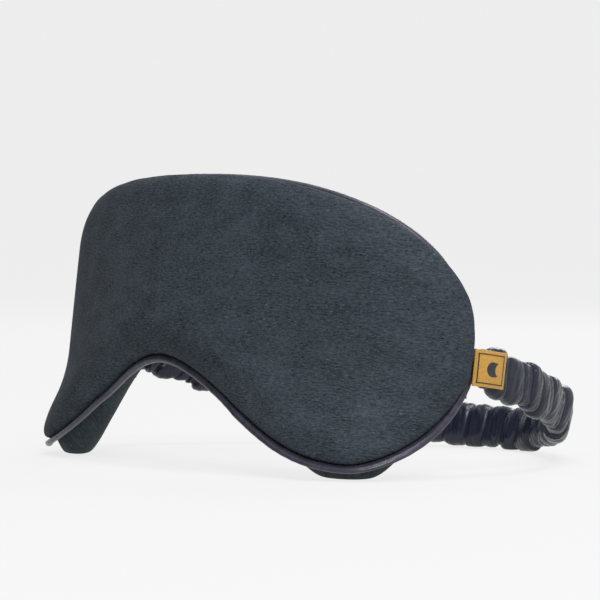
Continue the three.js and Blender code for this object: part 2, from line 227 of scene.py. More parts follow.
@dataclass
class Edge:
    """The outline of the flat pattern, with what the panels and the piping measure from it."""

    pattern: Pattern
    points: np.ndarray = field(init=False)
    inwards: np.ndarray = field(init=False)
    length: float = field(init=False)

    def __post_init__(self) -> None:
        """Samples the outline and its inward directions."""
        self.points = self.pattern.outline()
        ahead = np.roll(self.points, -1, axis=0) - np.roll(self.points, 1, axis=0)
        ahead /= np.linalg.norm(ahead, axis=1)[:, None]
        self.inwards = np.stack([-ahead[:, 1], ahead[:, 0]], axis=1)
        steps = np.roll(self.points, -1, axis=0) - self.points
        self.length = float(np.linalg.norm(steps, axis=1).sum())

    def at(self, share: np.ndarray, inside: np.ndarray) -> tuple[np.ndarray, np.ndarray]:
        """Places beside the outline.

        Args:
            share: How far round, as a share of the whole outline.
            inside: How far inwards from it, in millimetres.

        Returns:
            The places' along and up.
        """
        count = len(self.points)
        place = (share % 1.0) * count
        low = np.floor(place).astype(int) % count
        high = (low + 1) % count
        mix = (place - np.floor(place))[:, None]
        point = self.points[low] * (1 - mix) + self.points[high] * mix
        normal = self.inwards[low] * (1 - mix) + self.inwards[high] * mix
        moved = point + normal * inside[:, None]
        return moved[:, 0], moved[:, 1]

    def depth(self, along: np.ndarray, up: np.ndarray) -> tuple[np.ndarray, np.ndarray]:
        """How far places are from the outline, and where on it they are nearest.

        Args:
            along: The places' distances sideways.
            up: The places' heights.

        Returns:
            The distances in millimetres, and the nearest points as shares of the outline.
        """
        depth = np.empty(len(along))
        share = np.empty(len(along))
        for start in range(0, len(along), 2000):
            part = slice(start, start + 2000)
            places = np.stack([along[part], up[part]], axis=1)
            apart = np.linalg.norm(places[:, None] - self.points[None], axis=2)
            depth[part] = apart.min(axis=1)
            share[part] = apart.argmin(axis=1) / len(self.points)
        return depth, share

    def sides(self, setback: float) -> tuple[np.ndarray, np.ndarray]:
        """The right half's lower and upper edges, moved inwards.

        Args:
            setback: How far inwards, in millimetres.

        Returns:
            The two edges as arrays of (along, up) in order of along.
        """
        moved = self.points + self.inwards * setback
        right = moved[:, 0] > -0.5
        low = right & (self.inwards[:, 1] >= 0)
        high = right & (self.inwards[:, 1] <= 0)
        lower, upper = moved[low], moved[high]
        return lower[np.argsort(lower[:, 0])], upper[np.argsort(upper[:, 0])]


# ---- Mesh tools -----------------------------------------------------------------------------------
def grid_object(
    name: str,
    columns: int,
    rows: int,
    place: Place,
    uv: Place,
    merge: float = 1e-6,
) -> bpy.types.Object:
    """A finely divided grid whose vertices are moved to where place puts them.

    Args:
        name: The object's name.
        columns: Steps in the grid's first direction.
        rows: Steps in its second direction.
        place: Takes the grid's coordinates, each 0 to 1, to points in metres.
        uv: Takes the same coordinates to pattern coordinates in metres.
        merge: How close vertices are welded.

    Returns:
        The new object, with smooth faces.
    """
    bm = bmesh.new()
    bmesh.ops.create_grid(bm, x_segments=columns, y_segments=rows, size=1)
    grid = np.array([v.co[:2] for v in bm.verts]) / 2 + 0.5
    layer = bm.loops.layers.uv.new("pattern")
    pattern = uv(grid[:, 0], grid[:, 1])
    for face in bm.faces:
        face.smooth = True
        for loop in face.loops:
            loop[layer].uv = pattern[loop.vert.index]
    places = place(grid[:, 0], grid[:, 1])
    for vert, point in zip(bm.verts, places):
        vert.co = point
    bmesh.ops.remove_doubles(bm, verts=bm.verts, dist=merge)
    return mesh_object(name, bm)


def mesh_object(name: str, bm: bmesh.types.BMesh) -> bpy.types.Object:
    """Makes an object of a bmesh at the origin, and frees the bmesh.

    Args:
        name: The object's name.
        bm: The shape.

    Returns:
        The new object.
    """
    mesh = bpy.data.meshes.new(name)
    bm.to_mesh(mesh)
    bm.free()
    made = bpy.data.objects.new(name, mesh)
    bpy.context.scene.collection.objects.link(made)
    return made


def edited(target: bpy.types.Object, change: Callable[[bmesh.types.BMesh], None]) -> None:
    """Runs a change on an object's mesh as a bmesh.

    Args:
        target: The object.
        change: What to do to the bmesh.
    """
    bm = bmesh.new()
    bm.from_mesh(target.data)
    change(bm)
    bm.to_mesh(target.data)
    bm.free()
    target.data.update()


def face_outwards(bm: bmesh.types.BMesh) -> None:
    """Points every face of a closed shape outwards."""
    bmesh.ops.recalc_face_normals(bm, faces=bm.faces)


def positions(target: bpy.types.Object) -> np.ndarray:
    """An object's vertices as an array, one row per vertex."""
    flat = np.zeros(len(target.data.vertices) * 3)
    target.data.vertices.foreach_get("co", flat)
    return flat.reshape(-1, 3)


def move_to(target: bpy.types.Object, places: np.ndarray) -> None:
    """Puts an object's vertices at the given places."""
    target.data.vertices.foreach_set("co", places.reshape(-1))
    target.data.update()


def vertex_normals(target: bpy.types.Object) -> np.ndarray:
    """An object's vertex normals as an array, one row per vertex."""
    flat = np.zeros(len(target.data.vertices) * 3)
    target.data.vertex_normals.foreach_get("vector", flat)
    return flat.reshape(-1, 3)


def lay(verts: Sequence[bmesh.types.BMVert], place: Callable[[np.ndarray], np.ndarray]) -> None:
    """Moves vertices to where place puts them.

    Args:
        verts: The vertices.
        place: Takes their coordinates, one row per vertex, to points in metres.
    """
    flat = np.array([v.co[:] for v in verts])
    for vert, point in zip(verts, place(flat)):
        vert.co = point


def soft_rectangle(
    turn: np.ndarray, squareness: float, wide: float, high: float
) -> tuple[np.ndarray, np.ndarray]:
    """Points of a rectangle with softened corners.

    Args:
        turn: Angles round it.
        squareness: 1 for an ellipse, less for squarer corners.
        wide: Its width.
        high: Its height.

    Returns:
        The points' distances sideways and up from its middle.
    """
    cos, sin = np.cos(turn), np.sin(turn)
    across = np.sign(cos) * np.abs(cos) ** squareness * wide / 2
    return across, np.sign(sin) * np.abs(sin) ** squareness * high / 2


def roughened(places: np.ndarray, scale: float, seed: float) -> np.ndarray:
    """Smooth noise at each place.

    Args:
        places: Points, one per row.
        scale: Waves per unit of the points' own length.
        seed: Shifts the noise, so that no two uses look alike.

    Returns:
        Values from about -1 to 1.
    """
    shift = Vector((seed * 7.31, seed * 3.17, seed * 11.9))
    return np.array([noise.noise(Vector(p) * scale + shift) for p in places])


def above_floor(places: np.ndarray, clear: float, soft: float) -> np.ndarray:
    """Presses cloth flat where it would pass through the surface that the mask stands on.

    Args:
        places: Points in metres, one per row.
        clear: How far above the surface the cloth stays, in millimetres.
        soft: Over what height the pressing fades out.

    Returns:
        The points, pressed.
    """
    low, fade = clear * MM, soft * MM
    z = places[:, 2]
    pressed = places.copy()
    pressed[:, 2] = np.where(z < low + fade, low + fade * np.exp((z - low - fade) / fade), z)
    return pressed


def smooth_step(low: float, high: float, value: np.ndarray) -> np.ndarray:
    """0 below low, 1 above high, and a smooth rise between."""
    t = np.clip((value - low) / (high - low), 0, 1)
    return t * t * (3 - 2 * t)


# ---- Finishes -------------------------------------------------------------------------------------
class Recipe:
    """A material's node tree under construction."""

    def __init__(self, name: str) -> None:
        """Starts a material with a Principled shader.

        Args:
            name: The material's name.
        """
        self.material = bpy.data.materials.new(name)
        self.material.use_nodes = True
        self.nodes = self.material.node_tree.nodes
        self.shader = self.nodes["Principled BSDF"]

    def add(self, kind: str, settings: dict | None = None, **inputs: object) -> bpy.types.Node:
        """Adds a node.

        Args:
            kind: The node's type, without its ShaderNode prefix.
            settings: Properties of the node itself.
            inputs: Values or sockets for its inputs, with _ for a space in a name.

        Returns:
            The node.
        """
        node = self.nodes.new("ShaderNode" + kind)
        for key, value in (settings or {}).items():
            setattr(node, key, value)
        for key, value in inputs.items():
            self.feed(node, key.replace("_", " "), value)
        return node

    def feed(self, node: bpy.types.Node, name: str | int, value: object) -> None:
        """Sets an input of a node to a value, or links a socket to it."""
        socket = node.inputs[name]
        if isinstance(value, bpy.types.NodeSocket):
            self.material.node_tree.links.new(value, socket)
        else:
            socket.default_value = value

    def math(self, operation: str, a: object, b: object = 0.0) -> bpy.types.NodeSocket:
        """Adds a Math node.

        Args:
            operation: The node's operation.
            a: Its first value or socket.
            b: Its second value or socket.

        Returns:
            The result's socket.
        """
        node = self.add("Math", {"operation": operation})
        self.feed(node, 0, a)
        self.feed(node, 1, b)
        return node.outputs[0]

    def pattern(self, scale: tuple[float, float, float]) -> bpy.types.NodeSocket:
        """The piece's own pattern coordinates, scaled per metre."""
        uv = self.add("UVMap", {"uv_map": "pattern"})
        mapping = self.add("Mapping", Vector=uv.outputs["UV"], Scale=scale)
        return mapping.outputs["Vector"]

    def place(self, scale: tuple[float, float, float]) -> bpy.types.NodeSocket:
        """The piece's object coordinates, scaled per metre."""
        where = self.add("TexCoord")
        mapping = self.add("Mapping", Vector=where.outputs["Object"], Scale=scale)
        return mapping.outputs["Vector"]

    def blended(self, first: object, share: float, second: object) -> bpy.types.NodeSocket:
        """Adds two values in shares that make up a whole.

        Args:
            first: The first value's socket.
            share: The first value's share, from 0 to 1.
            second: The second value's socket.

        Returns:
            The result's socket.
        """
        rest = self.math("MULTIPLY", second, 1 - share)
        return self.math("ADD", self.math("MULTIPLY", first, share), rest)

    def noise(
        self, vector: object, detail: float, rough: float = 0.5, scale: float = 1.0
    ) -> bpy.types.NodeSocket:
        """A noise texture's value.

        Args:
            vector: The socket with its coordinates.
            detail: Its detail.
            rough: Its roughness.
            scale: Its scale on top of the coordinates' own.

        Returns:
            The value's socket, from 0 to 1.
        """
        node = self.add("TexNoise", Vector=vector, Scale=scale, Detail=detail, Roughness=rough)
        return node.outputs[0]

    def ramp(self, value: object, stops: Sequence[tuple[float, Colour]]) -> bpy.types.NodeSocket:
        """A colour ramp.

        Args:
            value: The socket that runs along it.
            stops: Places on it and their colours.

        Returns:
            The colour's socket.
        """
        node = self.add("ValToRGB")
        elements = node.color_ramp.elements
        while len(elements) < len(stops):
            elements.new(0.5)
        for element, (at, colour) in zip(elements, stops):
            element.position = at
            element.color = (*colour, 1)
        self.feed(node, "Fac", value)
        return node.outputs["Color"]

    def mix(self, fac: object, a: object, b: object, blend: str = "MIX") -> bpy.types.NodeSocket:
        """Mixes two colours.

        Args:
            fac: How much of the second.
            a: The first colour or socket.
            b: The second colour or socket.
            blend: The node's blend type.

        Returns:
            The colour's socket.
        """
        node = self.add("Mix", {"data_type": "RGBA", "blend_type": blend})
        self.feed(node, "Factor", fac)
        self.feed(node, 6, a)
        self.feed(node, 7, b)
        return node.outputs[2]

    def bump(
        self, height: object, strength: float, distance: float, under: object = None
    ) -> bpy.types.NodeSocket:
        """A bump node.

        Args:
            height: The socket with the height.
            strength: The bump's strength.
            distance: Its height in metres.
            under: The normal of a coarser bump below it.

        Returns:
            The normal's socket.
        """
        node = self.add("Bump", Strength=strength, Distance=distance, Height=height)
        if under is not None:
            self.feed(node, "Normal", under)
        return node.outputs["Normal"]

    def finish(self, **inputs: object) -> bpy.types.Material:
        """Sets the shader's inputs and hands the material over.

        Args:
            inputs: Values or sockets for the Principled shader, with _ for a space.

        Returns:
            The material.
        """
        for key, value in inputs.items():
            self.feed(self.shader, key.replace("_", " "), value)
        return self.material


def linear(red: int, green: int, blue: int) -> Colour:
    """A screen colour, 0 to 255, as linear light."""
    return tuple(
        c / 12.92 if c <= 0.04045 else ((c + 0.055) / 1.055) ** 2.4
        for c in (red / 255, green / 255, blue / 255)
    )


def rgba(colour: Colour) -> tuple[float, float, float, float]:
    """A colour with full opacity."""
    return (*colour, 1.0)


@dataclass(frozen=True)
class Nap:
    """Velvety cloth whose short nap lies sideways in fine streaks, brushed unevenly, with painted
    highlight flecks added to its colour.
    """

    name: str
    dark: Colour
    light: Colour
    sheen: Colour
    sheen_weight: float = 0.03
    streaks_per_m: tuple[float, float] = (620.0, 2000.0)

    def build(self) -> bpy.types.Material:
        """Makes the material."""
        made = Recipe(self.name)
        streak = made.noise(made.pattern((*self.streaks_per_m, 1)), 3.0, 0.7)
        fleck = made.noise(made.pattern((1500, 2600, 1)), 2.0)
        brushed = made.noise(made.pattern((34, 12, 1)), 2.0)
        worn = made.noise(made.pattern((110, 190, 1)), 3.0, 0.6)
        fine = made.blended(streak, 0.62, fleck)
        tone = made.blended(fine, 0.72, made.blended(worn, 0.6, brushed))
        colour = made.ramp(tone, [(0.37, self.dark), (0.63, self.light)])
        # Painted highlight: bright flecks of the sheen colour added to the base colour.
        painted_glint_noise = made.noise(made.pattern((900, 2400, 1)), 0.0)
        painted_glint = made.ramp(painted_glint_noise, [(0.74, (0.0,) * 3), (0.82, self.sheen)])
        colour = made.mix(0.5, colour, painted_glint, "ADD")
        normal = made.bump(worn, 0.28, 0.0004)
        normal = made.bump(fine, 0.7, 0.00017, normal)
        return made.finish(
            Base_Color=colour,
            Roughness=0.75,
            Normal=normal,
            Specular_IOR_Level=0.08,
            Sheen_Weight=self.sheen_weight,
            Sheen_Roughness=0.38,
            Sheen_Tint=rgba(self.sheen),
        )


@dataclass(frozen=True)
class Satin:
    """Smooth satin with a fine twill and small pressed creases, with painted shade in their troughs and
    painted highlight on their crests.
    """

    name: str
    dark: Colour
    light: Colour
    gloss: float = 0.34
    crease: float = 0.3

    def build(self) -> bpy.types.Material:
        """Makes the material."""
        made = Recipe(self.name)
        twill = made.pattern((900, 1500, 1))
        threads = made.add("TexWave", {"bands_direction": "DIAGONAL"}, Vector=twill, Scale=1.0)
        crease_relief_and_shade = made.noise(made.pattern((420, 90, 1)), 4.0, 0.6)
        patch = made.noise(made.pattern((120, 120, 1)), 2.0)
        # Painted shade: the colour follows the crease relief, darker in the creases' troughs and lighter
        # on their crests.
        tone = made.blended(crease_relief_and_shade, 0.6, patch)
        colour = made.ramp(tone, [(0.3, self.dark), (0.7, self.light)])
        normal = made.bump(crease_relief_and_shade, self.crease, 0.0007)
        normal = made.bump(threads.outputs["Fac"], 0.12, 0.00005, normal)
        rough = made.math("MULTIPLY_ADD", crease_relief_and_shade, 0.18)
        rough.node.inputs[2].default_value = self.gloss - 0.09
        return made.finish(
            Base_Color=colour,
            Roughness=rough,
            Normal=normal,
            Specular_IOR_Level=0.34,
            Sheen_Weight=0.04,
            Sheen_Roughness=0.3,
            Sheen_Tint=rgba(self.light),
        )


@dataclass(frozen=True)
class Woven:
    """Plainly woven cloth or tape, with its threads going over and under."""

    name: str
    dark: Colour
    light: Colour
    threads_per_m: float = 2400.0
    own_pattern: bool = True
    roughness: float = 0.75

    def build(self) -> bpy.types.Material:
        """Makes the material."""
        made = Recipe(self.name)
        scale = (self.threads_per_m,) * 3
        where = made.pattern(scale) if self.own_pattern else made.place(scale)
        waves = [
            made.add("TexWave", {"bands_direction": way}, Vector=where, Scale=0.32).outputs["Fac"]
            for way in ("X", "Y" if self.own_pattern else "Z")
        ]
        weave = made.math("MULTIPLY", *waves)
        fuzz = made.noise(where, 3.0, scale=0.4)
        tone = made.blended(weave, 0.5, fuzz)
        colour = made.ramp(tone, [(0.15, self.dark), (0.6, self.light)])
        return made.finish(
            Base_Color=colour,
            Roughness=self.roughness,
            Normal=made.bump(weave, 0.5, 0.0001),
            Sheen_Weight=0.15,
        )


@dataclass(frozen=True)
class Fibre:
    """Loose or twisted fibres: wadding, cord and thread."""

    name: str
    dark: Colour
    light: Colour
    strands_per_m: tuple[float, float, float] = (900.0, 900.0, 900.0)
    depth: float = 0.0003

    def build(self) -> bpy.types.Material:
        """Makes the material."""
        made = Recipe(self.name)
        strands = made.noise(made.place(self.strands_per_m), 5.0, 0.7)
        clumps = made.noise(made.place((60, 60, 60)), 2.0)
        tone = made.blended(strands, 0.6, clumps)
        colour = made.ramp(tone, [(0.3, self.dark), (0.7, self.light)])
        return made.finish(
            Base_Color=colour,
            Roughness=0.9,
            Normal=made.bump(strands, 0.6, self.depth),
            Sheen_Weight=0.2,
        )


class Finish(Enum):
    """The mask's finishes, under the names of the record's material slots."""

    FACE = Nap("face_velvet", linear(15, 22, 28), linear(65, 72, 79), linear(74, 86, 94))
    LINING = Nap("lining_velvet", linear(20, 28, 31), linear(56, 65, 69), linear(60, 74, 78))
    STRAP = Satin("strap_satin", linear(15, 17, 27), linear(37, 41, 56), gloss=0.27)
    PIPING = Satin("piping_satin", linear(34, 34, 44), linear(62, 60, 74), gloss=0.34, crease=0.2)
    WADDING = Fibre("wadding", linear(225, 223, 216), linear(246, 245, 240))
    BLACKOUT = Woven("blackout_cloth", linear(16, 17, 19), linear(34, 35, 38), own_pattern=False)
    CORD = Fibre("piping_cord_cotton", linear(205, 200, 186), linear(236, 232, 222), depth=0.0002)
    ELASTIC = Woven("elastic_band", linear(22, 24, 28), linear(52, 54, 60), 1500.0, False)
    LABEL = Woven("label_weave", linear(150, 108, 34), linear(190, 146, 58), 3600.0)
    THREAD = Fibre("thread", linear(18, 17, 20), linear(44, 42, 48), (3000.0,) * 3, 0.0001)
    LABEL_THREAD = Fibre(
        "label_thread", linear(150, 112, 45), linear(200, 158, 76), (3000.0,) * 3, 0.0001
    )

    @property
    def slot(self) -> str:
        """The record's material slot."""
        return self.value.name

    def material(self) -> bpy.types.Material:
        """The finish's material, made the first time it is asked for."""
        known = bpy.data.materials.get("finish_" + self.slot)
        if known:
            return known
        made = self.value.build()
        made.name = "finish_" + self.slot
        return made


def dress(piece: bpy.types.Object, finish: Finish) -> None:
    """Gives a piece its finish in place of what it has."""
    piece.data.materials.clear()
    piece.data.materials.append(finish.material())


# ---- The padded body ------------------------------------------------------------------------------
FILLING = {
    "quality": 6,
    "mass": 0.15,
    "tension_stiffness": 14,
    "compression_stiffness": 12,
    "shear_stiffness": 8,
    "bending_stiffness": 3,
    "air_damping": 2,
    "shrink_min": -0.006,
    "use_pressure": True,
    "uniform_pressure_force": 5,
}


@dataclass
class PaddedBody:
    """The two panels sewn together round their edge, filled, and settled by a short cloth simulation."""

    edge: Edge
    front_crown: float = 8.1
    back_crown: float = 9.8
    edge_round: float = 13.6
    setback: float = 1.4
    seam_level: float = 0.5
    thickness: float = 0.7
    columns: int = 132
    rows: int = 64
    slack: float = 0.97
    most_swell: float = 1.2 * MM
    pucker_reach: float = 5.5
    face_pucker: float = 0.16
    lining_pucker: float = 0.42
    frames: int = 20
    held: float = 0.9
    let_go: float = 2.5
    seam_points: int = 900

    def build(self) -> list[bpy.types.Object]:
        """Makes the face and the lining.

        Returns:
            The two pieces.
        """
        face = self.panel("face_fabric", self.front_crown, 1)
        lining = self.panel("lining_fabric", self.back_crown, -1)
        self.settle(face, lining)
        self.pucker(face, self.face_pucker, 31.0)
        self.pucker(lining, self.lining_pucker, 57.0)
        for piece, node, finish in (
            (face, "front_panel", Finish.FACE),
            (lining, "back_panel", Finish.LINING),
        ):
            self.thicken(piece)
            dress(piece, finish)
            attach(piece, "mask")
            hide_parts(node)
        return [face, lining]

    def panel(self, name: str, crown: float, side: int) -> bpy.types.Object:
        """One panel as a domed sheet from seam to seam.

        Args:
            name: The piece's name.
            crown: How far the dome rises from the seam plane, in millimetres.
            side: 1 for the front and -1 for the back.

        Returns:
            The sheet, facing outwards.
        """
        full = crown * self.slack

        def place(u: np.ndarray, v: np.ndarray) -> np.ndarray:
            along, up, on_edge = self.spread(u, v)
            depth = np.clip(self.edge.depth(along, up)[0] - self.setback, 0, None)
            depth[on_edge] = 0
            share = np.clip(depth / (self.edge_round - self.setback), 0, 1)
            rise = np.sqrt(1 - (1 - share) ** 2)
            out = side * (self.seam_level + (full - self.seam_level) * rise)
            return self.edge.pattern.worn(along, up, out)

        def uv(u: np.ndarray, v: np.ndarray) -> np.ndarray:
            along, up, _ = self.spread(u, v)
            return np.stack([along, up], axis=1) * MM

        sheet = grid_object(name, self.columns, self.rows, place, uv)
        if side < 0:
            edited(sheet, lambda bm: bmesh.ops.reverse_faces(bm, faces=bm.faces))
        return sheet

    def spread(self, u: np.ndarray, v: np.ndarray) -> tuple[np.ndarray, np.ndarray, np.ndarray]:
        """Spreads a unit grid over the flat pattern, closer towards its edges.

        Args:
            u: The grid's first coordinates.
            v: Its second coordinates.

        Returns:
            Along, up, and which of the points lie on the panel's edge.
        """
        lower, upper = self.edge.sides(self.setback)
        reach = self.edge.pattern.half_width - self.setback
        along = reach * np.sin((2 * u - 1) * math.pi / 2)
        low = np.interp(np.abs(along), lower[:, 0], lower[:, 1])
        high = np.interp(np.abs(along), upper[:, 0], upper[:, 1])
        up = (low + high) / 2 + (high - low) / 2 * np.sin((2 * v - 1) * math.pi / 2)
        on_edge = (np.abs(2 * u - 1) > 0.999) | (np.abs(2 * v - 1) > 0.999)
        return along, up, on_edge

    def settle(self, face: bpy.types.Object, lining: bpy.types.Object) -> None:
        """Lets the filling swell the two panels, held along their seam.

        Args:
            face: The front panel.
            lining: The back panel.
        """
        start = np.vstack([positions(face), positions(lining)])
        outwards = np.vstack([vertex_normals(face), vertex_normals(lining)])
        bag = self.sewn_bag(face, lining)
        self.hold_seam(bag)
        cloth = bag.modifiers.new("fill", "CLOTH")
        for name, value in FILLING.items():
            setattr(cloth.settings, name, value)
        cloth.settings.effector_weights.gravity = 0
        cloth.settings.vertex_group_mass = "seam"
        cloth.collision_settings.use_collision = False
        scene = bpy.context.scene
        scene.frame_start, scene.frame_end = 1, self.frames
        for number in range(1, self.frames + 1):
            scene.frame_set(number)
        shape = bag.evaluated_get(bpy.context.evaluated_depsgraph_get())
        ended = np.zeros(len(start) * 3)
        shape.data.vertices.foreach_get("co", ended)
        scene.frame_set(1)
        bpy.data.objects.remove(bag)
        swelling = ((ended.reshape(-1, 3) - start) * outwards).sum(axis=1)
        log.info("filling moved the panels by %.1f to %.1f mm", swelling.min() / MM, swelling.max() / MM)
        kept = self.most_swell * np.tanh(np.clip(swelling, 0, None) / self.most_swell)
        moved = start + outwards * kept[:, None]
        split = len(face.data.vertices)
        move_to(face, moved[:split])
        move_to(lining, moved[split:])

    def sewn_bag(self, face: bpy.types.Object, lining: bpy.types.Object) -> bpy.types.Object:
        """Both panels in one closed mesh, in their own vertex order.

        Args:
            face: The front panel.
            lining: The back panel.

        Returns:
            The closed mesh's object.
        """
        bm = bmesh.new()
        bm.from_mesh(face.data)
        bm.from_mesh(lining.data)
        rim = [e for e in bm.edges if e.is_boundary]
        bmesh.ops.bridge_loops(bm, edges=rim)
        return mesh_object("sewn_bag", bm)

    def hold_seam(self, bag: bpy.types.Object) -> None:
        """Pins the bag along its seam, and lets go of it over a few millimetres."""
        group = bag.vertex_groups.new(name="seam")
        seam = self.seam()
        for index, place in enumerate(positions(bag)):
            apart = np.linalg.norm(seam - place, axis=1).min()
            beyond = apart / MM - self.held
            weight = 1.0 if apart < self.held * MM else max(0.0, 1 - beyond / self.let_go) * 0.6
            if weight > 0:
                group.add([index], weight, "REPLACE")

    def seam(self) -> np.ndarray:
        """Points along the seam, in metres."""
        count = self.seam_points
        share = np.linspace(0, 1, count, endpoint=False)
        along, up = self.edge.at(share, np.full(count, self.setback))
        return self.edge.pattern.worn(along, up, np.zeros(count))

    def pucker(self, piece: bpy.types.Object, height: float, seed: float) -> None:
        """Gathers a panel into fine uneven puckers where it meets the seam.

        Args:
            piece: The panel.
            height: The puckers' height in millimetres.
            seed: Makes each panel's puckers its own.
        """
        count = len(piece.data.vertices)
        uv = np.zeros((count, 2))
        layer = piece.data.uv_layers["pattern"]
        for loop in piece.data.loops:
            uv[loop.vertex_index] = layer.data[loop.index].uv
        depth, share = self.edge.depth(uv[:, 0] / MM, uv[:, 1] / MM)
        run = share * self.edge.length
        line = np.stack([run, np.full(count, seed), depth * 0.25], axis=1)
        wave = roughened(line, 0.26, seed) + 0.6 * roughened(line, 0.55, seed + 1)
        fade = np.exp(-np.clip(depth - self.setback, 0, None) / self.pucker_reach)
        rise = smooth_step(0.0, 1.2, depth - self.setback)
        moved = positions(piece) + vertex_normals(piece) * (wave * fade * rise * height * MM)[:, None]
        move_to(piece, above_floor(moved, 0.15, 0.8))

    def thicken(self, piece: bpy.types.Object) -> None:
        """Smooths a panel and gives it the thickness of its cloth."""
        smooth = piece.modifiers.new("smooth", "SUBSURF")
        smooth.levels = smooth.render_levels = 1
        cloth = piece.modifiers.new("cloth", "SOLIDIFY")
        cloth.thickness = self.thickness * MM
        cloth.offset = -1


# ---- Piping ---------------------------------------------------------------------------------------
@dataclass
class Piping:
    """The satin piping: a sleeve round a cord, with its two edges lying flat in the seam."""

    edge: Edge
    radius: float = 1.3
    flange_depth: float = 6.0
    flange_half: float = 0.2
    steps: int = 900
    round_steps: int = 18

    def build(self) -> list[bpy.types.Object]:
        """Makes the sleeve.

        Returns:
            The one piece.
        """
        section = self.section()
        around = len(section)

        def place(u: np.ndarray, v: np.ndarray) -> np.ndarray:
            index = np.rint(v * around).astype(int) % around
            inside, out = section[index, 0], section[index, 1]
            wobble = self.creases(u * self.edge.length, index / around)
            swell = np.where(index <= self.round_steps, 1 + wobble, 1.0)
            along, up = self.edge.at(u, inside * swell)
            return self.edge.pattern.worn(along, up, out * swell)

        def uv(u: np.ndarray, v: np.ndarray) -> np.ndarray:
            girth = 2 * math.pi * self.radius
            return np.stack([u * self.edge.length, v * girth], axis=1) * MM

        sleeve = grid_object("piping_satin_sleeve", self.steps, around, place, uv)
        edited(sleeve, face_outwards)
        dress(sleeve, Finish.PIPING)
        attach(sleeve, "mask")
        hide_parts("piping_sleeve")
        return [sleeve]

    def section(self) -> np.ndarray:
        """The sleeve's outline in section: inwards and out, in millimetres."""
        mouth = math.asin(self.flange_half / self.radius)
        turn = np.linspace(mouth, 2 * math.pi - mouth, self.round_steps + 1)
        tube = np.stack([np.cos(turn), np.sin(turn)], axis=1) * self.radius
        half = self.flange_half
        flange = np.array([(self.flange_depth, -half), (self.flange_depth, half)])
        return np.vstack([tube, flange])

    def creases(self, run: np.ndarray, turn: np.ndarray) -> np.ndarray:
        """Small slanting creases of the bias-cut satin, as shares of the radius.

        Args:
            run: Distance round the edge in millimetres.
            turn: Share of the way round the sleeve.

        Returns:
            The swelling at each place.
        """
        angle = turn * 2 * math.pi
        line = np.stack([run + turn * 3.0, np.sin(angle), np.cos(angle)], axis=1)
        return 0.05 * roughened(line * np.array([0.55, 0.5, 0.5]), 1.0, 3.0)


# ---- Strap ----------------------------------------------------------------------------------------
@dataclass(frozen=True)
class StrapLine:
    """The loop's middle line: a flat curve in a plane that droops from the swing axis, in millimetres."""

    half_width: float = 88.3
    depth: float = 91.5
    roundness: float = 0.437
    droop: float = math.radians(16.45)
    root_reach: float = 9.4
    seam_y: float = 45.6
    seam_z: float = 29.3

    def line(self) -> tuple[np.ndarray, np.ndarray]:
        """The curve's points in its own plane, and the distance along it to each."""
        seam, rear = -self.root_reach, self.depth - self.root_reach
        side, back = self.depth * self.roundness, self.half_width * self.roundness
        wide = self.half_width
        right = [(wide, seam), (wide, seam + side), (back, rear), (0, rear)]
        left = [(-x, y) for x, y in reversed(right)]
        t = np.linspace(0, 1, 900)[:, None]
        points = np.vstack([bezier(np.array(right, float), t), bezier(np.array(left, float), t)[1:]])
        length = np.concatenate([[0], np.cumsum(np.linalg.norm(np.diff(points, axis=0), axis=1))])
        return points, length

    @property
    def length(self) -> float:
        """The loop's length from seam to seam."""
        return float(self.line()[1][-1])

    def place(
        self, run: np.ndarray, across: np.ndarray, height: np.ndarray, pattern: Pattern
    ) -> np.ndarray:
        """Takes places on the strap to the frame of the CAD model.

        Args:
            run: Distance along the loop from the right seam.
            across: Distance outwards from the middle line.
            height: Distance up from it, square to the strap's plane.
            pattern: The mask's pattern, for where the frame's origin lies.

        Returns:
            Points in metres.
        """
        points, length = self.line()
        ahead = np.gradient(points, length, axis=0)
        ahead /= np.linalg.norm(ahead, axis=1)[:, None]
        beyond = np.clip(-run, 0, None) - np.clip(run - length[-1], 0, None)
        x = np.interp(run, length, points[:, 0])
        y = np.interp(run, length, points[:, 1]) - np.abs(beyond)
        tx = np.interp(run, length, ahead[:, 0])
        ty = np.interp(run, length, ahead[:, 1])
        x, y = x + ty * across, y - tx * across
        cos, sin = math.cos(self.droop), math.sin(self.droop)
        axis_y = self.seam_y + self.root_reach * cos - pattern.middle_y
        axis_z = self.seam_z - self.root_reach * sin - pattern.floor_z
        return np.stack([x, axis_y + y * cos + height * sin, axis_z - y * sin + height * cos], axis=1) * MM


@dataclass(frozen=True)
class Crease:
    """One pinched line of the gathers, running round the strap at an angle, and the puff after it."""

    at: float
    slant: float
    bow: float
    swirl: float
    hold: float
    fade: float
    facing: float
    puff: float
    skew: float

    def line(self, turn: np.ndarray) -> np.ndarray:
        """Where along the strap the crease lies at each angle round it."""
        bowed = self.bow * np.cos(2 * turn) + 0.35 * np.sin(3 * turn + self.facing)
        return self.at - self.slant * np.sin(turn) + bowed + self.swirl * np.cos(turn)

    def pinch(self, turn: np.ndarray) -> np.ndarray:
        """How tightly the crease is pinched at each angle round the strap, from 0 to 1."""
        return np.clip(self.hold + self.fade * np.cos(turn - self.facing), 0, 1)

    def bulge(self, turn: np.ndarray) -> np.ndarray:
        """How high the puff after the crease stands at each angle, in millimetres."""
        return self.puff * (1 + 0.25 * np.cos(turn + self.facing))


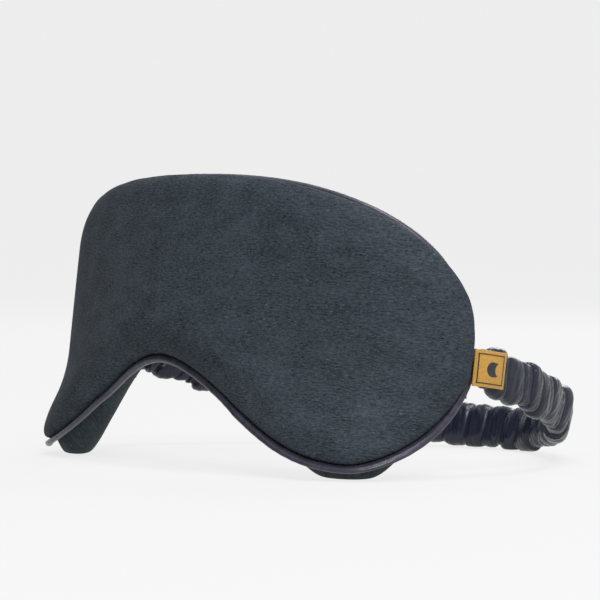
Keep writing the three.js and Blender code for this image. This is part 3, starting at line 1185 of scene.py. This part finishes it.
@dataclass
class Gathers:
    """The creases and puffs that the elastic draws the satin sleeve into, the same on every run."""

    length: float
    seed: int = 11
    least_gap: float = 1.3
    creases: list[Crease] = field(init=False)

    def __post_init__(self) -> None:
        """Places the creases from before one seam to past the other."""
        draw = random.Random(self.seed)
        self.creases = []
        at = -12.0
        while at < self.length + 12:
            wide = draw.random() > 0.3
            self.creases.append(
                Crease(
                    at=at,
                    slant=draw.uniform(0.5, 2.6),
                    bow=draw.uniform(-0.6, 0.6),
                    swirl=draw.uniform(-1.3, 1.3),
                    hold=draw.uniform(0.6, 1.0),
                    fade=draw.uniform(0.0, 0.7),
                    facing=draw.uniform(-math.pi, math.pi),
                    puff=draw.uniform(1.9, 2.7) if wide else draw.uniform(1.1, 1.8),
                    skew=draw.uniform(0.62, 1.25),
                )
            )
            at += draw.uniform(5.0, 8.4) if wide else draw.uniform(2.6, 4.4)

    def relief(self, run: np.ndarray, turn: np.ndarray) -> tuple[np.ndarray, np.ndarray]:
        """The gathers' shape at places on the strap.

        Args:
            run: Distances along the strap.
            turn: Angles round it.

        Returns:
            How far the cloth stands out in millimetres, and the same as a share of its puff.
        """
        lines = np.maximum.accumulate(
            np.stack([c.line(turn) + self.least_gap * k for k, c in enumerate(self.creases)]), axis=0
        )
        lines -= self.least_gap * np.arange(len(self.creases))[:, None]
        after = np.clip((lines <= run[None]).sum(axis=0), 1, len(self.creases) - 1)
        before = after - 1
        column = np.arange(len(run))
        low, high = lines[before, column], lines[after, column]
        share = np.clip((run - low) / np.maximum(high - low, 1e-3), 0, 1)
        pinches = np.stack([c.pinch(turn) for c in self.creases])
        bulges = np.stack([c.bulge(turn) for c in self.creases])
        skews = np.array([c.skew for c in self.creases])[before]
        arch = np.clip(4 * share**skews * (1 - share**skews), 0, 1) ** 0.42
        pinch = pinches[before, column] * (1 - share) + pinches[after, column] * share
        full = arch + (1 - arch) * (1 - pinch)
        return bulges[before, column] * full, full


@dataclass
class Strap:
    """The ruched satin sleeve over its elastic band, in three stretches, one for each CAD body."""

    pattern: Pattern
    line: StrapLine = field(default_factory=StrapLine)
    height: float = 12.9
    thickness: float = 5.6
    squareness: float = 0.72
    sunk: float = 1.45
    lip: float = 1.1
    around: int = 84
    per_mm: float = 3.6
    tuck: float = 5.0
    side_length: float = 27.0
    label_run: tuple[float, float] = (-3.0, 9.6)
    label_half: float = 6.1
    elastic_height: float = 10.6
    elastic_thickness: float = 1.5
    elastic_squareness: float = 0.4
    elastic_around: int = 24
    stretch_end: float = 0.44

    def build(self) -> list[bpy.types.Object]:
        """Makes the covers and the elastic of every stretch.

        Returns:
            All the pieces.
        """
        gathers = Gathers(self.line.length)
        total, side = self.line.length, self.side_length
        stretches = {
            "right": (-self.tuck, side),
            "rear": (side, total - side),
            "left": (total - side, total + self.tuck),
        }
        made = []
        for name, (start, end) in stretches.items():
            cover = self.sleeve(f"ruched_sleeve_{name}", start, end, gathers)
            elastic = self.band(f"elastic_band_{name}", start, end)
            dress(cover, Finish.STRAP)
            dress(elastic, Finish.ELASTIC)
            if name == "rear":
                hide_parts("strap_cover_rear")
                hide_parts("elastic_rear")
                self.follow_stretch(cover, elastic)
            else:
                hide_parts(f"strap_cover_{name}", f"strap_root_{name}")
                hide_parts(f"elastic_{name}")
                self.follow_swing(cover, elastic)
            made += [cover, elastic]
        return made

    def follow_swing(self, *pieces: bpy.types.Object) -> None:
        """Bakes pieces' placement into their meshes."""
        for piece in pieces:
            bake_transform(piece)

    def follow_stretch(self, *pieces: bpy.types.Object) -> None:
        """Works out where the loop's stretch ends lie, without using them, and bakes pieces' placement
        into their meshes.
        """
        ends = np.array([self.side_length, self.line.length * self.stretch_end])
        (_, near, level), (_, far, _) = self.at(ends, np.zeros(2), np.zeros(2))
        for piece in pieces:
            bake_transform(piece)

    def at(self, run: np.ndarray, across: np.ndarray, height: np.ndarray) -> np.ndarray:
        """Places on the strap in the frame of the CAD model, in metres."""
        return self.line.place(run, across, height, self.pattern)

    def at_ends(self, run: np.ndarray) -> np.ndarray:
        """0 where the strap is sewn flat into a seam, 1 where it is free."""
        near = np.minimum(run, self.line.length - run)
        return smooth_step(-self.tuck, 6.0, near)

    def sleeve(self, name: str, start: float, end: float, gathers: Gathers) -> bpy.types.Object:
        """One stretch of the ruched satin sleeve.

        Args:
            name: The piece's name.
            start: Where it starts along the loop, in millimetres.
            end: Where it ends.
            gathers: The folds.

        Returns:
            The closed sleeve.
        """

        def place(u: np.ndarray, v: np.ndarray) -> np.ndarray:
            run = start + (end - start) * u
            turn = -2 * math.pi * v
            across, height, out_across, out_height = self.section(turn)
            loose = self.at_ends(run)
            relief, full = gathers.relief(run, turn)
            line = np.stack([run - 1.5 * np.sin(turn), 3 * np.cos(turn), 7 * np.sin(turn)], axis=1)
            broad = 0.35 * roughened(line, 0.16, 5.0)
            fine = 0.3 * roughened(line * np.array([1.0, 0.3, 0.3]), 0.75, 2.0) * full
            swell = (relief + broad + fine) * (0.3 + 0.7 * loose) - self.sunk
            across = across * (0.4 + 0.6 * loose) + out_across * swell - 1.5 * (1 - loose)
            height = height * (0.86 + 0.14 * loose) + out_height * swell
            across = self.press_under_label(run, across, height)
            return above_floor(self.at(run + self.lip * full * loose, across, height), 0.25, 0.6)

        def uv(u: np.ndarray, v: np.ndarray) -> np.ndarray:
            girth = 2 * (self.height + self.thickness)
            return np.stack([(start + (end - start) * u) * 1.8, v * girth], axis=1) * MM

        steps = max(int((end - start) * self.per_mm), 8)
        sleeve = grid_object(name, steps, self.around, place, uv, merge=2e-5)
        edited(sleeve, self.close_ends)
        return sleeve

    def close_ends(self, bm: bmesh.types.BMesh) -> None:
        """Turns a tube's open ends into closed ones."""
        rim = [e for e in bm.edges if e.is_boundary]
        bmesh.ops.holes_fill(bm, edges=rim, sides=0)
        face_outwards(bm)

    def section(self, turn: np.ndarray) -> tuple[np.ndarray, np.ndarray, np.ndarray, np.ndarray]:
        """The sleeve's section before it is gathered: a soft rectangle.

        Args:
            turn: Angles round it, 0 facing outwards and a quarter turn facing up.

        Returns:
            Across and height in millimetres, and the outward direction's two parts.
        """
        cos, sin = np.cos(turn), np.sin(turn)
        across, height = soft_rectangle(turn, self.squareness, self.thickness, self.height)
        out_across = cos * self.height
        out_height = sin * self.thickness * 1.6
        size = np.hypot(out_across, out_height)
        return across, height, out_across / size, out_height / size

    def press_under_label(self, run: np.ndarray, across: np.ndarray, height: np.ndarray) -> np.ndarray:
        """Flattens the gathers under the label.

        Args:
            run: Distances along the loop.
            across: Distances outwards.
            height: Distances up.

        Returns:
            The distances outwards, pressed flat where the label lies.
        """
        low, high = self.label_run
        beside = smooth_step(low - 2.5, low, run) * (1 - smooth_step(high, high + 2.0, run))
        under = beside * (1 - smooth_step(self.label_half - 0.3, self.label_half + 0.9, np.abs(height)))
        pressed = np.minimum(across, self.thickness / 2 - 0.15 + 0.12 * across)
        return across + (pressed - across) * under * (across > 0)

    def band(self, name: str, start: float, end: float) -> bpy.types.Object:
        """One stretch of the elastic inside the sleeve.

        Args:
            name: The piece's name.
            start: Where it starts along the loop, in millimetres.
            end: Where it ends.

        Returns:
            The closed band.
        """

        def place(u: np.ndarray, v: np.ndarray) -> np.ndarray:
            run = start + (end - start) * u
            turn = -2 * math.pi * v
            across, height = soft_rectangle(
                turn, self.elastic_squareness, self.elastic_thickness, self.elastic_height
            )
            loose = self.at_ends(run)
            return self.at(run, across * (0.4 + 0.6 * loose) - 1.5 * (1 - loose), height * 0.92)

        def uv(u: np.ndarray, v: np.ndarray) -> np.ndarray:
            return np.stack([(start + (end - start) * u), v * 26], axis=1) * MM

        steps = max(int((end - start) * 0.8), 8)
        band = grid_object(name, steps, self.elastic_around, place, uv, merge=2e-5)
        edited(band, self.close_ends)
        return band


# ---- Label and stitches ---------------------------------------------------------------------------
@dataclass
class Label:
    """The small woven label on the strap's outer face, with a plain border and a crescent."""

    strap: Strap
    width: float = 11.2
    height: float = 11.0
    start: float = -3.1
    tilt: float = math.radians(9)
    lift: float = 3.0
    thickness: float = 0.5
    tuck: float = 1.6
    drop: float = 1.2
    border_inset: float = 1.0
    border_width: float = 0.32
    crescent_radius: float = 2.2
    stitch_count: int = 7
    stitch_length: float = 1.0
    thread_radius: float = 0.11

    def build(self) -> list[bpy.types.Object]:
        """Makes the label's cloth, its woven figures and the stitches that hold it.

        Returns:
            All the pieces.
        """
        cloth = self.cloth()
        border = self.border()
        crescent = self.crescent()
        dress(cloth, Finish.LABEL)
        dress(border, Finish.THREAD)
        dress(crescent, Finish.THREAD)
        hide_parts("woven_label")
        rows = []
        for name, share in (("front", 0.05), ("rear", 0.95)):
            row = self.stitches(f"label_stitches_{name}", self.start + self.width * share)
            dress(row, Finish.LABEL_THREAD)
            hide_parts(f"label_stitch_{name}")
            rows.append(row)
        self.strap.follow_swing(cloth, border, crescent, *rows)
        return [cloth, border, crescent, *rows]

    def on_strap(self, along: np.ndarray, height: np.ndarray, lift: np.ndarray) -> np.ndarray:
        """Places over the label, in metres.

        Args:
            along: Distances from the label's seam end.
            height: Distances up from its middle.
            lift: Distances off its outer face.

        Returns:
            The points.
        """
        bulge = 0.35 * np.cos(height / self.height * math.pi) * np.sin(along / self.width * math.pi)
        tucked = self.tuck * (1 - smooth_step(-0.5, 4.0, along))
        out = self.lift + self.thickness + bulge + lift - tucked
        cos, sin = math.cos(self.tilt), math.sin(self.tilt)
        run = self.start + along * cos - height * sin
        return self.strap.at(run, out, height * cos + along * sin - self.drop)

    def cloth(self) -> bpy.types.Object:
        """The label's tape, with turned edges."""

        def place(u: np.ndarray, v: np.ndarray) -> np.ndarray:
            return self.on_strap(u * self.width, (v - 0.5) * self.height, np.zeros(len(u)))

        def uv(u: np.ndarray, v: np.ndarray) -> np.ndarray:
            return np.stack([u * self.width, v * self.height], axis=1) * MM

        tape = grid_object("label_tape", 36, 36, place, uv)
        edited(tape, lambda bm: self.give_thickness(bm, self.thickness))
        return tape

    def give_thickness(self, bm: bmesh.types.BMesh, thickness: float) -> None:
        """Turns a sheet on the strap's outer face into a closed slab with eased edges."""
        if sum(f.normal.x for f in bm.faces) < 0:
            bmesh.ops.reverse_faces(bm, faces=bm.faces)
        bmesh.ops.solidify(bm, geom=bm.faces[:], thickness=thickness * MM)
        face_outwards(bm)
        sharp = [e for e in bm.edges if e.is_manifold and e.calc_face_angle(0) > 1.0]
        bmesh.ops.bevel(
            bm,
            geom=sharp,
            offset=thickness * 0.3 * MM,
            offset_type="OFFSET",
            segments=2,
            profile=0.5,
            affect="EDGES",
            material=-1,
        )
        for face in bm.faces:
            face.smooth = True

    def border(self) -> bpy.types.Object:
        """The woven line just inside the label's edges."""
        bm = bmesh.new()
        bmesh.ops.create_grid(bm, x_segments=1, y_segments=1, size=0.5)
        inside_w = self.width - 2 * self.border_inset
        inside_h = self.height - 2 * self.border_inset
        bmesh.ops.scale(bm, vec=(inside_w, inside_h, 1), verts=bm.verts)
        ring = bmesh.ops.inset_region(
            bm, faces=bm.faces[:], thickness=self.border_width, use_boundary=True, use_even_offset=True
        )
        middle = [f for f in bm.faces if f not in ring["faces"]]
        bmesh.ops.delete(bm, geom=middle, context="FACES")
        long_edges = [e for e in bm.edges if e.calc_length() > 2]
        bmesh.ops.subdivide_edges(bm, edges=long_edges, cuts=14, use_grid_fill=True)
        return self.raised("label_border", bm, self.width / 2, 0.07)

    def crescent(self) -> bpy.types.Object:
        """A plain crescent in the label's middle."""
        bm = bmesh.new()
        radius = self.crescent_radius
        bmesh.ops.create_circle(bm, cap_ends=True, radius=radius, segments=56)
        hollow = radius * 1.02
        for vert in bm.verts:
            if vert.co.x > radius * 0.35:
                reach = math.sqrt(max(hollow**2 - vert.co.y**2, 0))
                vert.co.x = radius * 1.38 - reach
        return self.raised("label_crescent", bm, self.width / 2 + 0.25, 0.09)

    def raised(self, name: str, bm: bmesh.types.BMesh, middle: float, height: float) -> bpy.types.Object:
        """Lays a flat figure on the label as raised threads.

        Args:
            name: The piece's name.
            bm: The figure, in millimetres about its own middle.
            middle: Where its middle lies along the label.
            height: How far it stands off the label.

        Returns:
            The closed figure.
        """
        bmesh.ops.triangulate(bm, faces=bm.faces)
        top = bmesh.ops.extrude_face_region(bm, geom=bm.faces[:])
        raised = {v for v in top["geom"] if isinstance(v, bmesh.types.BMVert)}
        lift = np.array([height if v in raised else -0.05 for v in bm.verts])
        lay(list(bm.verts), lambda flat: self.on_strap(flat[:, 0] + middle, flat[:, 1], lift))
        face_outwards(bm)
        return mesh_object(name, bm)

    def stitches(self, name: str, run: float) -> bpy.types.Object:
        """A row of small stitches down one end of the label.

        Args:
            name: The piece's name.
            run: Where the row lies along the strap.

        Returns:
            The row.
        """
        bm = bmesh.new()
        count, radius = self.stitch_count, self.thread_radius
        for number in range(count):
            height = (number + 0.5 - count / 2) * (self.height - 0.8) / count

            def place(flat: np.ndarray, height: float = height) -> np.ndarray:
                lift = flat[:, 2] + radius * 0.4
                return self.on_strap(flat[:, 0] + run - self.start, flat[:, 1] + height, lift)

            lay(stitch(bm, self.stitch_length, radius), place)
        face_outwards(bm)
        return mesh_object(name, bm)


def stitch(bm: bmesh.types.BMesh, length: float, radius: float) -> list[bmesh.types.BMVert]:
    """Adds one stitch: a short thread along its own y that dips at both ends.

    Args:
        bm: The shape to add it to.
        length: The stitch's length.
        radius: The thread's radius.

    Returns:
        The stitch's vertices.
    """
    made = bmesh.ops.create_uvsphere(bm, u_segments=8, v_segments=6, radius=1)
    for vert in made["verts"]:
        x, y, z = vert.co
        vert.co = (x * radius, z * length / 2, y * radius - 0.5 * radius * z * z)
    return made["verts"]


@dataclass
class BarTack:
    """Close zigzag stitching that holds an end of the strap in the side seam, on its inner face."""

    strap: Strap
    side: str
    height: float = 10.0
    width: float = 1.5
    run: float = 1.6
    passes: int = 26
    slant: float = 0.16
    thread_radius: float = 0.24
    inner_face: float = 0.82
    sunk: float = 0.95

    def build(self) -> list[bpy.types.Object]:
        """Makes the tack.

        Returns:
            The one piece.
        """
        bm = bmesh.new()
        total = self.strap.line.length
        run = self.run if self.side == "right" else total - self.run
        depth = -self.strap.thickness / 2 * self.inner_face - self.sunk
        for number in range(self.passes):
            height = (number / (self.passes - 1) - 0.5) * self.height
            tilt = self.slant if number % 2 else -self.slant

            def place(flat: np.ndarray, height: float = height, tilt: float = tilt) -> np.ndarray:
                turned = flat[:, 0] + tilt * flat[:, 1]
                return self.strap.at(flat[:, 1] + run, depth - flat[:, 2], turned + height)

            lay(stitch(bm, self.width, self.thread_radius), place)
        face_outwards(bm)
        tack = mesh_object(f"bar_tack_stitching_{self.side}", bm)
        dress(tack, Finish.THREAD)
        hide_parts(f"bar_tack_{self.side}")
        self.strap.follow_swing(tack)
        return [tack]


# ---- Hidden CAD pieces ----------------------------------------------------------------------------
INNER_FINISHES = {
    "front_wadding": Finish.WADDING,
    "back_wadding": Finish.WADDING,
    "blackout_lining": Finish.BLACKOUT,
    "piping_cord": Finish.CORD,
    "elastic_end_left": Finish.ELASTIC,
    "elastic_end_right": Finish.ELASTIC,
}


def dress_inner_pieces() -> None:
    """Gives the CAD pieces inside the mask their finishes."""
    for node, finish in INNER_FINISHES.items():
        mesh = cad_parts[node].data
        mesh.materials.clear()
        mesh.materials.append(finish.material())


# ---- Studio ---------------------------------------------------------------------------------------
@dataclass(frozen=True)
class Softbox:
    """One soft area light, aimed at the mask."""

    name: str
    place: tuple[float, float, float]
    size: float
    power: float

    def build(self, target: Vector) -> None:
        """Hangs the light."""
        data = bpy.data.lights.new(self.name, "AREA")
        data.shape = "SQUARE"
        data.size = self.size
        data.energy = self.power
        light = bpy.data.objects.new(self.name, data)
        light.location = self.place
        light.rotation_euler = (target - light.location).to_track_quat("-Z", "Y").to_euler()
        bpy.context.scene.collection.objects.link(light)


@dataclass
class Studio:
    """A pale seamless floor under even light, three softboxes, a black flag and the camera."""

    centre: Vector
    level: float = 0.85
    floor_albedo: float = 0.08
    azimuth: float = 53.06
    elevation: float = 1.6
    distance: float = 1.1516
    lens: float = 219.7
    aim: tuple[float, float, float] = (0.0079, -0.0226, 0.0514)
    pivot: tuple[float, float, float] = (0, -0.0331, 0.049)
    flag_place: tuple[float, float, float] = (-0.5, -0.62, 0.3)
    softboxes: tuple[Softbox, ...] = (
        Softbox("key_softbox", (1.2, -0.65, 0.95), 0.45, 14.0),
        Softbox("top_softbox", (0.3, -0.1, 1.4), 0.5, 12.0),
        Softbox("rear_softbox", (-0.7, 1.1, 0.9), 0.8, 9.0),
    )

    def build(self) -> None:
        """Sets the floor, the light and the camera."""
        self.floor()
        world = bpy.data.worlds.new("studio")
        world.use_nodes = True
        background = world.node_tree.nodes["Background"]
        background.inputs["Color"].default_value = (1, 1, 1, 1)
        background.inputs["Strength"].default_value = self.level
        scene = bpy.context.scene
        scene.world = world
        scene.view_settings.view_transform = "Standard"
        for softbox in self.softboxes:
            softbox.build(self.centre)
        self.flag()
        self.camera()

    def floor(self) -> None:
        """A wide floor that meets the background at the horizon without a line."""
        bm = bmesh.new()
        bmesh.ops.create_circle(bm, cap_ends=True, radius=60, segments=96)
        floor = mesh_object("floor", bm)
        made = Recipe("floor_paper")
        albedo = self.floor_albedo
        floor.data.materials.append(
            made.finish(
                Base_Color=(albedo, albedo, albedo, 1),
                Roughness=1.0,
                Specular_IOR_Level=0.0,
                Emission_Color=(1, 1, 1, 1),
                Emission_Strength=self.level * (1 - albedo),
            )
        )
        floor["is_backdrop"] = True

    def flag(self) -> None:
        """A black flag beside the set that keeps the mask's far side dark."""
        bm = bmesh.new()
        bmesh.ops.create_grid(bm, x_segments=1, y_segments=1, size=0.5)
        facing = (self.centre - Vector(self.flag_place)).to_track_quat("Z", "Y").to_matrix()
        bmesh.ops.scale(bm, vec=(1.3, 1.0, 1.0), verts=bm.verts)
        bmesh.ops.rotate(bm, matrix=facing, verts=bm.verts)
        bmesh.ops.translate(bm, vec=self.flag_place, verts=bm.verts)
        flag = mesh_object("flag", bm)
        cloth = Recipe("black_cloth").finish(Base_Color=(0.01, 0.01, 0.01, 1), Roughness=1.0)
        flag.data.materials.append(cloth)
        flag.visible_camera = False
        flag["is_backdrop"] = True

    def camera(self) -> None:
        """The camera, nearly level, in front of the mask and to its right."""
        turn, rise = math.radians(self.azimuth), math.radians(self.elevation)
        back = Vector(
            (math.sin(turn) * math.cos(rise), -math.cos(turn) * math.cos(rise), math.sin(rise))
        )
        data = bpy.data.cameras.new("camera")
        data.lens = self.lens
        data.sensor_width = 36
        camera = bpy.data.objects.new("camera", data)
        camera.location = Vector(self.pivot) + back * self.distance
        look = Vector(self.aim) - camera.location
        camera.rotation_euler = look.to_track_quat("-Z", "Y").to_euler()
        bpy.context.scene.collection.objects.link(camera)
        bpy.context.scene.camera = camera


def report(pieces: Sequence[bpy.types.Object]) -> None:
    """Logs the size of each finished piece."""
    for piece in pieces:
        log.info("%s: %d faces", piece.name, len(piece.data.polygons))


def main() -> None:
    """Builds the mask round its frame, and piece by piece."""
    logging.basicConfig(level=logging.INFO, format="%(message)s")
    cad_low, cad_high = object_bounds()
    Studio(centre=(cad_low + cad_high) / 2).build()
    pattern = Pattern()
    edge = Edge(pattern)
    strap = Strap(pattern)
    for part in (
        PaddedBody(edge),
        Piping(edge),
        strap,
        Label(strap),
        BarTack(strap, "right"),
        BarTack(strap, "left"),
    ):
        report(part.build())
    dress_inner_pieces()


if __name__ == "__main__":
    main()
